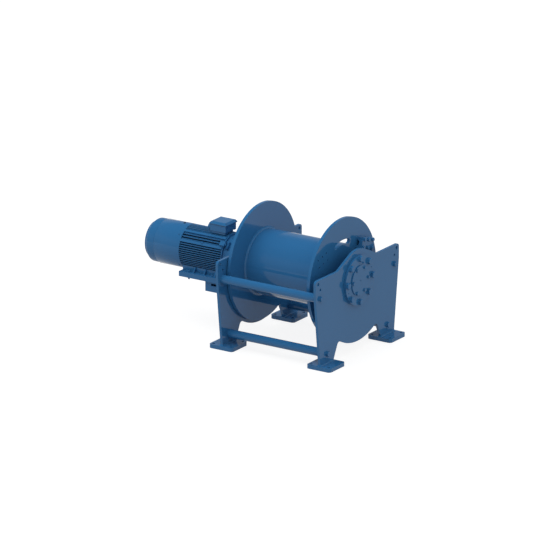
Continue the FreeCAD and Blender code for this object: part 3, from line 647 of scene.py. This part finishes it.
# %% Lid screws
LID_INSET, LID_SUNK = 11 * MM, 8 * MM
lid_screw = screw_head("lid_screw", 5 * MM, 5 * MM)
half_x, half_y = lid.size.x / 2 - LID_INSET, lid.size.y / 2 - LID_INSET
lid_spots = [(lid.middle.x + x * half_x, lid.middle.y + y * half_y, lid.high.z - LID_SUNK)
             for x in (-1, 1) for y in (-1, 1)]
fasten("lid_screws", lid_screw, lid_spots, UP, "frame", 17)

# %% Foot bolts, nuts and studs
FOOT_THICKNESS, FOOT_BOLT_ACROSS = 38 * MM, 0.150
FOOT_BOLT_FIRST, FOOT_BOLT_LAST = 0.070, 0.055
STUD_PROFILE = ((-1, 6), (20, 6), (21.5, 4.8))
foot_deck = feet.low.z + FOOT_THICKNESS
foot_bolts = [(feet.low.x + reach, side * FOOT_BOLT_ACROSS)
              for reach in (FOOT_BOLT_FIRST, feet.size.x - FOOT_BOLT_LAST) for side in (-1, 1)]
deck_spots = [(x, y, foot_deck) for x, y in foot_bolts]
fasten("motor_foot_bolts", m14, deck_spots, UP, "frame", 19)
open_below = [(x, y, feet.low.z) for x, y in foot_bolts if x < console.low.x]
fasten("motor_foot_nuts", m14, open_below, DOWN, "frame", 23)
stud_rings = [circle_points(radius * MM, reach * MM, SCREW_STEPS) for reach, radius in STUD_PROFILE]
foot_stud = stacked("foot_stud_shape", stud_rings)
fasten("motor_foot_studs", foot_stud, open_below, DOWN, "frame", 25)

# %% Fan cover screws and plug
RIM_SCREW_STEP, TOP_PLUG_STEP, COVER_SKIN = 28 * MM, 58 * MM, fan.size.z / 2
rim_angles = [math.radians(turn) for turn in (45, 135, 225, 315)]
rim_ways = [(0.0, math.cos(angle), math.sin(angle)) for angle in rim_angles]
rim_spots = [(fan.high.x - RIM_SCREW_STEP, COVER_SKIN * y, AXIS + COVER_SKIN * z) for _, y, z in rim_ways]
cover_screw = screw_head("fan_cover_screw", 6.5 * MM, 3.5 * MM)
fasten("fan_cover_screws", cover_screw, rim_spots, rim_ways, "frame", 29)
top_plug = screw_head("fan_cover_plug", 9 * MM, 4 * MM)
top_spot = (fan.high.x - TOP_PLUG_STEP, 0.0, AXIS + COVER_SKIN)
fasten("fan_cover_plug", top_plug, [top_spot], UP, "frame", 31, finish=black_and_painted_shadow)

# %% [markdown]
# ## Weld beads
# Plates that meet at a corner are joined by a fillet weld: a bead with a slightly swollen face and
# fine ripples where the torch paused. A bead is swept along the corner. At every step it needs the
# corner's place and the two ways that lead away from it along the two plates. The bead at the
# drum's bearing end stops on both sides of the rope slot.

# %% Normals and shading
def outward(mesh):
    """Make every face of a closed mesh point outwards."""
    shape = bmesh.new()
    shape.from_mesh(mesh)
    bmesh.ops.recalc_face_normals(shape, faces=shape.faces)
    shape.to_mesh(mesh)
    shape.free()


def smooth(mesh, sharp_above=40.0):
    """Shade the mesh smooth, and keep its sharp edges."""
    mesh.shade_smooth()
    mesh.set_sharp_from_angle(angle=math.radians(sharp_above))


print("shading helpers ready")

# %% The bead
BEAD_ROOT, BEAD_STEP, BEAD_SHARP = -0.4 * MM, 1.4 * MM, 60.0
RIPPLE, RIPPLE_DEPTH = 5 * MM, 0.035
TOE, FACE_OUT, FACE_UP = 0.12, 0.62, 0.55


def weld_bead(name, path, body, leg, material=plate_paint, closed=True):
    """Sweep a bead along steps of (corner, first way, second way); closed joins its two ends."""
    points, length = [], 0.0
    before = path[-1][0] + path[-1][1] * leg
    for corner, first, second in path:
        here = corner + first * leg
        length += (here - before).length
        before = here
        reach = leg * (1.0 + RIPPLE_DEPTH * math.sin(2 * math.pi * length / RIPPLE))
        section = ((BEAD_ROOT, BEAD_ROOT), (reach, BEAD_ROOT), (reach, TOE * leg),
                   (FACE_OUT * reach, FACE_UP * reach), (TOE * leg, reach), (BEAD_ROOT, reach))
        points += [corner + first * a + second * b for a, b in section]
    steps, count = len(path), len(section)
    faces = ring_faces(steps, count, closed)
    if not closed:
        faces += [tuple(range(count)), tuple(range((steps - 1) * count, steps * count))]
    piece = mesh_object(name, points, faces)
    outward(piece.data)
    smooth(piece.data, BEAD_SHARP)
    return finish_piece(piece, body, material)


print("bead helper ready")

# %% Paths for the bead
CORNER_STEPS = 6


def ring_path(x, radius, way, start=0.0, turn=360.0):
    """The corner between a tube and a disc, round the drum axis, from start for a turn in degrees."""
    count = round(math.radians(turn) * radius / BEAD_STEP)
    path = []
    for i in range(count):
        angle = math.radians(start + turn * i / count)
        out = Vector((0.0, math.cos(angle), math.sin(angle)))
        path.append((Vector((x, 0.0, AXIS)) + out * radius, Vector((way, 0.0, 0.0)), out))
    return path


def loop_path(middle, half_u, half_v, u, v, up):
    """The corner round a rectangular bar that stands on a plate; up is the way along the bar."""
    path = []
    for out, side, far, half in ((u, v, half_u, half_v), (v, -u, half_v, half_u),
                                 (-u, -v, half_u, half_v), (-v, u, half_v, half_u)):
        count = round(2 * half / BEAD_STEP)
        for i in range(count + 1):
            path.append((middle + out * far + side * (2 * half * i / count - half), out, up))
        corner = middle + out * far + side * half
        for i in range(1, CORNER_STEPS):
            turn = math.pi / 12 * i
            path.append((corner, out * math.cos(turn) + side * math.sin(turn), up))
    return path


print("a bead steps on by", BEAD_STEP / MM, "mm")

# %% Beads on the drum
DRUM_LEG = 14 * MM
gear_ring = ring_path(gear_flange.high.x, BARREL_SKIN, 1.0)
weld_bead("weld_drum_gear_end", gear_ring, "drum", DRUM_LEG, drum_gloss)
ROPE_SLOT_FIRST, ROPE_SLOT_LAST = 69.0, 115.0
slot_free = 360.0 + ROPE_SLOT_FIRST - ROPE_SLOT_LAST
past_slot = ring_path(flange.low.x, BARREL_SKIN, -1.0, ROPE_SLOT_LAST, slot_free)
weld_bead("weld_drum_bearing_end", past_slot, "drum", DRUM_LEG, drum_gloss, closed=False)

# %% Beads on the legs and the console
X_WAY, Y_WAY, Z_WAY = Vector((1.0, 0.0, 0.0)), Vector((0.0, 1.0, 0.0)), Vector((0.0, 0.0, 1.0))
LEG_WIDTH, FOOT_LEG, CONSOLE_LEG = 176 * MM, 9 * MM, 7 * MM
for end, plate in (("motor_end", motor_plate), ("bearing_end", bearing_plate)):
    for side in ("front", "back"):
        foot = Part(f"foot_plate_{end}_{side}")
        foot_top = Vector((plate.middle.x, foot.middle.y, foot.high.z))
        leg_loop = loop_path(foot_top, plate.size.x / 2, LEG_WIDTH / 2, X_WAY, Y_WAY, Z_WAY)
        weld_bead(f"weld_leg_{end}_{side}", leg_loop, "frame", FOOT_LEG)

console_root = Vector((motor_plate.low.x, 0.0, console.middle.z))
console_loop = loop_path(console_root, console.size.y / 2, console.size.z / 2, Y_WAY, Z_WAY, -X_WAY)
weld_bead("weld_console", console_loop, "frame", CONSOLE_LEG)

# %% [markdown]
# ## Fan cover
# The cover is a drawn steel cup: a wide skirt, a slightly narrower cap with a round edge, and a raised
# disc with a grille that lets the cooling air in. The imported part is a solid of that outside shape. A
# thin-walled cup is turned here from a half profile instead: outside from the skirt to the grille's
# edge, then back along the inside. Where the profile bends, short arcs keep the edge soft.

# %% The cup's profile
GRILLE_RADIUS, COVER_WALL = 0.128, 3 * MM
DISC_RADIUS, DISC_LENGTH, CAP_RADIUS, CAP_LENGTH = 0.142, 0.020, 0.166, 0.098
CAP_ROUND, DISC_ROUND, DISC_FILLET, SKIRT_BEAD = 22 * MM, 6 * MM, 1 * MM, 2 * MM


def arc(middle_x, middle_r, radius, start, end, steps=8):
    """Points of (x, r) on an arc; the angles are in degrees, 0 along +X and 90 outwards."""
    turns = [math.radians(start + (end - start) * i / steps) for i in range(steps + 1)]
    return [(middle_x + radius * math.cos(turn), middle_r + radius * math.sin(turn)) for turn in turns]


def cup_profile(end, mouth, skin):
    """Half profile of the cup's outside, from its mouth to the grille's edge."""
    shoulder, cap_start = end + DISC_LENGTH, end + CAP_LENGTH
    profile = [(mouth, skin - 1.5 * MM), (mouth - 0.5 * MM, skin - 0.4 * MM), (mouth - 1.5 * MM, skin),
               (cap_start + SKIRT_BEAD, skin), (cap_start + 0.3 * SKIRT_BEAD, skin - 0.3 * SKIRT_BEAD),
               (cap_start, CAP_RADIUS - 0.3 * MM), (cap_start - 0.4 * SKIRT_BEAD, CAP_RADIUS)]
    profile += arc(shoulder + CAP_ROUND, CAP_RADIUS - CAP_ROUND, CAP_ROUND, 90, 180)
    profile += arc(shoulder - DISC_FILLET, DISC_RADIUS + DISC_FILLET, DISC_FILLET, 0, -90, 3)
    profile += arc(end + DISC_ROUND, DISC_RADIUS - DISC_ROUND, DISC_ROUND, 90, 180)
    return profile + [(end, GRILLE_RADIUS + 1 * MM), (end + 1 * MM, GRILLE_RADIUS)]


outside = cup_profile(fan.low.x, fan.high.x, COVER_SKIN)
inside = [(fan.low.x + COVER_WALL, GRILLE_RADIUS),
          (fan.low.x + DISC_LENGTH + COVER_WALL, GRILLE_RADIUS + 6 * MM),
          (fan.low.x + 2.4 * DISC_LENGTH, CAP_RADIUS - COVER_WALL),
          (fan.high.x, CAP_RADIUS - COVER_WALL)]
print("cup profile of", len(outside + inside), "points")

# %% The cup
TURNED_STEPS = 192


def turned(name, profile):
    """Turn a closed profile of (x, r) once round the motor's axis."""
    points = [(x, r * math.cos(angle), AXIS + r * math.sin(angle))
              for angle in round_angles(TURNED_STEPS) for x, r in profile]
    piece = mesh_object(name, points, ring_faces(TURNED_STEPS, len(profile), closed=True))
    outward(piece.data)
    smooth(piece.data)
    return piece


cup = turned("fan_cover_shell", outside + inside)
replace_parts(finish_piece(cup, "frame", casting_paint), "fan_cover")

# %% [markdown]
# ## Grille and fan
# The grille is rings of round wire on eight flat spokes, and behind it sits a plastic fan. Rings and
# spokes repeat by a rule, so one tree makes them: circles swept with a wire, and a bar instanced
# round the axis. The fan's blades are instanced the same way, between two rings on a turned hub.

# %% The ring and spoke tree
RING_STEPS, WIRE_STEPS = 96, 10


def wheel_tree():
    tree = new_tree("rings_and_spokes", (
        ("Geometry", "Geometry"), ("Rings", "Int"), ("First Radius", "Float"), ("Ring Step", "Float"),
        ("Wire", "Float"), ("Spokes", "Int"), ("Spoke", "Object"), ("Centre", "Vector"),
        ("Finish", "Material")), "Wheel")
    graph = Graph(tree)
    given = graph.node("NodeGroupInput")

    def circle(steps, radius):
        inputs = {"Resolution": steps, "Radius": radius}
        return graph.node("GeometryNodeCurvePrimitiveCircle", {"mode": "RADIUS"}, inputs)[0]

    def copies(count, thing, change, amount):
        """Real copies of a thing on one spot, each with its own Scale or Rotation."""
        line = {"Count": count, "Offset": (0.0, 0.0, 0.0)}
        spots = graph.node("GeometryNodeMeshLine", {"mode": "OFFSET"}, line)[0]
        inputs = {"Points": spots, "Instance": thing, change: amount}
        placed = graph.node("GeometryNodeInstanceOnPoints", None, inputs)[0]
        return graph.node("GeometryNodeRealizeInstances", None, {0: placed})[0]

    number = graph.node("GeometryNodeInputIndex")[0]
    radius = given["First Radius"] + given["Ring Step"] * number
    loops = copies(given["Rings"], circle(RING_STEPS, 1.0), "Scale", radius)
    sweep = {"Curve": loops, "Profile Curve": circle(WIRE_STEPS, given["Wire"])}
    wires = graph.node("GeometryNodeCurveToMesh", None, sweep)[0]
    turn = graph.node("ShaderNodeCombineXYZ", None, {"Z": number * (2 * math.pi) / given["Spokes"]})[0]
    bar = graph.node("GeometryNodeObjectInfo", None, {"Object": given["Spoke"]})["Geometry"]
    bars = copies(given["Spokes"], bar, "Rotation", turn)
    joined = graph.node("GeometryNodeJoinGeometry", None, {0: [wires, bars]})[0]
    onto_axis = {0: joined, "Translation": given["Centre"], "Rotation": (0.0, math.pi / 2, 0.0)}
    facing = graph.node("GeometryNodeTransform", None, onto_axis)[0]
    coated = graph.node("GeometryNodeSetMaterial", None, {0: facing, "Material": given["Finish"]})[0]
    graph.node("NodeGroupOutput", None, {0: coated})
    return tree


WHEEL = wheel_tree()
print("wheel tree with", len(WHEEL.nodes), "nodes")

# %% Blocks and wheels
def block(name, low, high, bevel):
    """A box between two corners, with its edges rounded."""
    shape = bmesh.new()
    bmesh.ops.create_cube(shape, size=1.0)
    for corner in shape.verts:
        corner.co = Vector([(a + b) / 2 + k * (b - a) for a, b, k in zip(low, high, corner.co)])
    bmesh.ops.bevel(shape, geom=shape.edges[:], offset=bevel, segments=2, affect="EDGES")
    mesh = bpy.data.meshes.new(name)
    shape.to_mesh(mesh)
    shape.free()
    return bpy.data.objects.new(name, mesh)


def wheel(name, x, spoke, sizes, finish):
    """Rings and spokes about the motor's axis at x."""
    piece = mesh_object(name, [(0.0, 0.0, 0.0)])
    modifier = piece.modifiers.new("wheel", "NODES")
    modifier.node_group = WHEEL
    set_inputs(modifier, {**sizes, "Spoke": spoke, "Centre": (x, 0.0, AXIS), "Finish": finish})
    bpy.context.view_layer.update()
    finish_piece(piece, "frame")
    smooth(piece.data)
    return piece


print("block and wheel helpers ready")

# %% Grille
GRILLE_BORE, GRILLE_DEPTH = 0.020, 3.2 * MM
SPOKE_HALF_WIDTH, SPOKE_HALF_DEPTH, SPOKE_ROUND = 3 * MM, 1.5 * MM, 0.6 * MM
spoke_low = (GRILLE_BORE, -SPOKE_HALF_WIDTH, -SPOKE_HALF_DEPTH)
spoke_high = (GRILLE_RADIUS + 1.5 * MM, SPOKE_HALF_WIDTH, SPOKE_HALF_DEPTH)
spoke = block("grille_spoke", spoke_low, spoke_high, SPOKE_ROUND)
grille_sizes = {"Rings": 10, "First Radius": GRILLE_BORE, "Ring Step": 0.0115, "Wire": 1.7 * MM, "Spokes": 8}
wheel("fan_grille", fan.low.x + GRILLE_DEPTH, spoke, grille_sizes, casting_paint)

# %% Fan
FAN_DEPTH, BLADE_FOOT, BLADE_TIP = 60 * MM, 0.040, 0.118
BLADE_HALF_THICKNESS, BLADE_HALF_WIDTH, BLADE_ROUND = 1.5 * MM, 22 * MM, 0.8 * MM
blade_low = (BLADE_FOOT, -BLADE_HALF_THICKNESS, -BLADE_HALF_WIDTH)
blade_high = (BLADE_TIP, BLADE_HALF_THICKNESS, BLADE_HALF_WIDTH)
blade = block("fan_blade", blade_low, blade_high, BLADE_ROUND)
fan_sizes = {"Rings": 2, "First Radius": 0.030, "Ring Step": 0.088, "Wire": 3.0 * MM, "Spokes": 11}
wheel("cooling_fan", fan.low.x + FAN_DEPTH, blade, fan_sizes, black_and_painted_shadow)

# %% Hub
HUB_FRONT, HUB_ROUND_END, HUB_BACK, WALL_BACK = 36 * MM, 40 * MM, 82 * MM, 85 * MM
HUB_BORE, HUB_FACE, HUB_RADIUS, WALL_RADIUS = 0.002, 0.038, 0.042, CAP_RADIUS - 3.2 * MM
hub_profile = [(HUB_FRONT, HUB_BORE), (HUB_FRONT, HUB_FACE), (HUB_ROUND_END, HUB_RADIUS),
               (HUB_BACK, HUB_RADIUS), (HUB_BACK, WALL_RADIUS), (WALL_BACK, WALL_RADIUS),
               (WALL_BACK, HUB_BORE)]
hub = turned("fan_hub", [(fan.low.x + x, r) for x, r in hub_profile])
finish_piece(hub, "frame", black_and_painted_shadow)

# %% [markdown]
# ## Small castings on the motor
# Four lugs on the adapter take the bolts of the end shield, a small boss on each upper rail takes the
# earth screw, and two cable glands stand on the terminal box. A rounded block, turned about the
# motor's axis, is close to how such a lug is cast. Thin black strips under the lid and under the box
# are painted shadow: dark lines where the shade under their edges falls.

# %% Lugs and bosses
def lug(name, x, r, turn, half_width, round_off):
    """A rounded lug on a cylinder about the motor's axis; turn is from the top, in degrees.

    x and r are each a pair: where the lug starts and ends along the axis, and away from it.
    """
    shape = block(name, (x[0], -half_width, r[0]), (x[1], half_width, r[1]), round_off)
    turned_by = Matrix.Rotation(math.radians(turn), 4, "X")
    shape.data.transform(Matrix.Translation((0.0, 0.0, AXIS)) @ turned_by)
    scene.collection.objects.link(shape)
    smooth(shape.data)
    return finish_piece(shape, "frame", casting_paint)


LUG_STEP, LUG_DEPTH, LUG_RADII = 7 * MM, 15 * MM, (0.134, 0.167)
LUG_HALF_WIDTH, LUG_ROUND = 32 * MM, 5 * MM
lug_start = adapter.low.x + LUG_STEP
lug_reach = (lug_start, lug_start + LUG_DEPTH)
for number, turn in enumerate((LUG_TURN, -LUG_TURN, 180 - LUG_TURN, LUG_TURN - 180)):
    lug(f"adapter_lug_{number}", lug_reach, LUG_RADII, turn, LUG_HALF_WIDTH, LUG_ROUND)

BOSS_TURN, BOSS_LENGTH, BOSS_RADII = 56.0, 16 * MM, (0.150, 0.174)
BOSS_HALF_WIDTH, BOSS_ROUND = 9 * MM, 2 * MM
boss_reach = (stator.middle.x, stator.middle.x + BOSS_LENGTH)
for side, turn in (("front", BOSS_TURN), ("back", -BOSS_TURN)):
    lug(f"earth_boss_{side}", boss_reach, BOSS_RADII, turn, BOSS_HALF_WIDTH, BOSS_ROUND)

# %% Glands
GLAND_STEPS, GLAND_INSET, GLAND_PITCH, GLAND_DROP = 32, 26 * MM, 54 * MM, 1 * MM
GLAND_PROFILE = ((-2, 21), (4, 21), (5, 22.5), (14, 22.5), (18, 20), (24, 17), (26, 13), (26, 8), (12, 7))
box_part = Part("terminal_box")
gland_rings = [circle_points(radius * MM, reach * MM, GLAND_STEPS) for reach, radius in GLAND_PROFILE]
gland = stacked("cable_glands_shape", gland_rings)
gland_height = box_part.middle.z - GLAND_DROP
gland_spots = [(box_part.low.x, box_part.low.y + GLAND_INSET + GLAND_PITCH * i, gland_height) for i in (0, 1)]
fasten("cable_glands", gland, gland_spots, LEFT, "frame", 37)

# %% Painted shadow strips under the lid and the box
SHADOW_STRIP_PROUD, SHADOW_STRIP_HALF, SHADOW_STRIP_ROUND = 1.2 * MM, 1.5 * MM, 0.4 * MM
plinth = Part("terminal_box_plinth")
# painted shadow: black strips just proud of the box's and plinth's top edges, as dark lines of shade
for name, part, drop in (("lid_gasket", box_part, 1.5 * MM), ("box_gasket", plinth, 2 * MM)):
    level = part.high.z - drop
    strip_low = (part.low.x - SHADOW_STRIP_PROUD, part.low.y - SHADOW_STRIP_PROUD, level - SHADOW_STRIP_HALF)
    strip_high = (part.high.x + SHADOW_STRIP_PROUD, part.high.y + SHADOW_STRIP_PROUD, level + SHADOW_STRIP_HALF)
    strip = block(name, strip_low, strip_high, SHADOW_STRIP_ROUND)
    scene.collection.objects.link(strip)
    finish_piece(strip, "frame", black_and_painted_shadow)
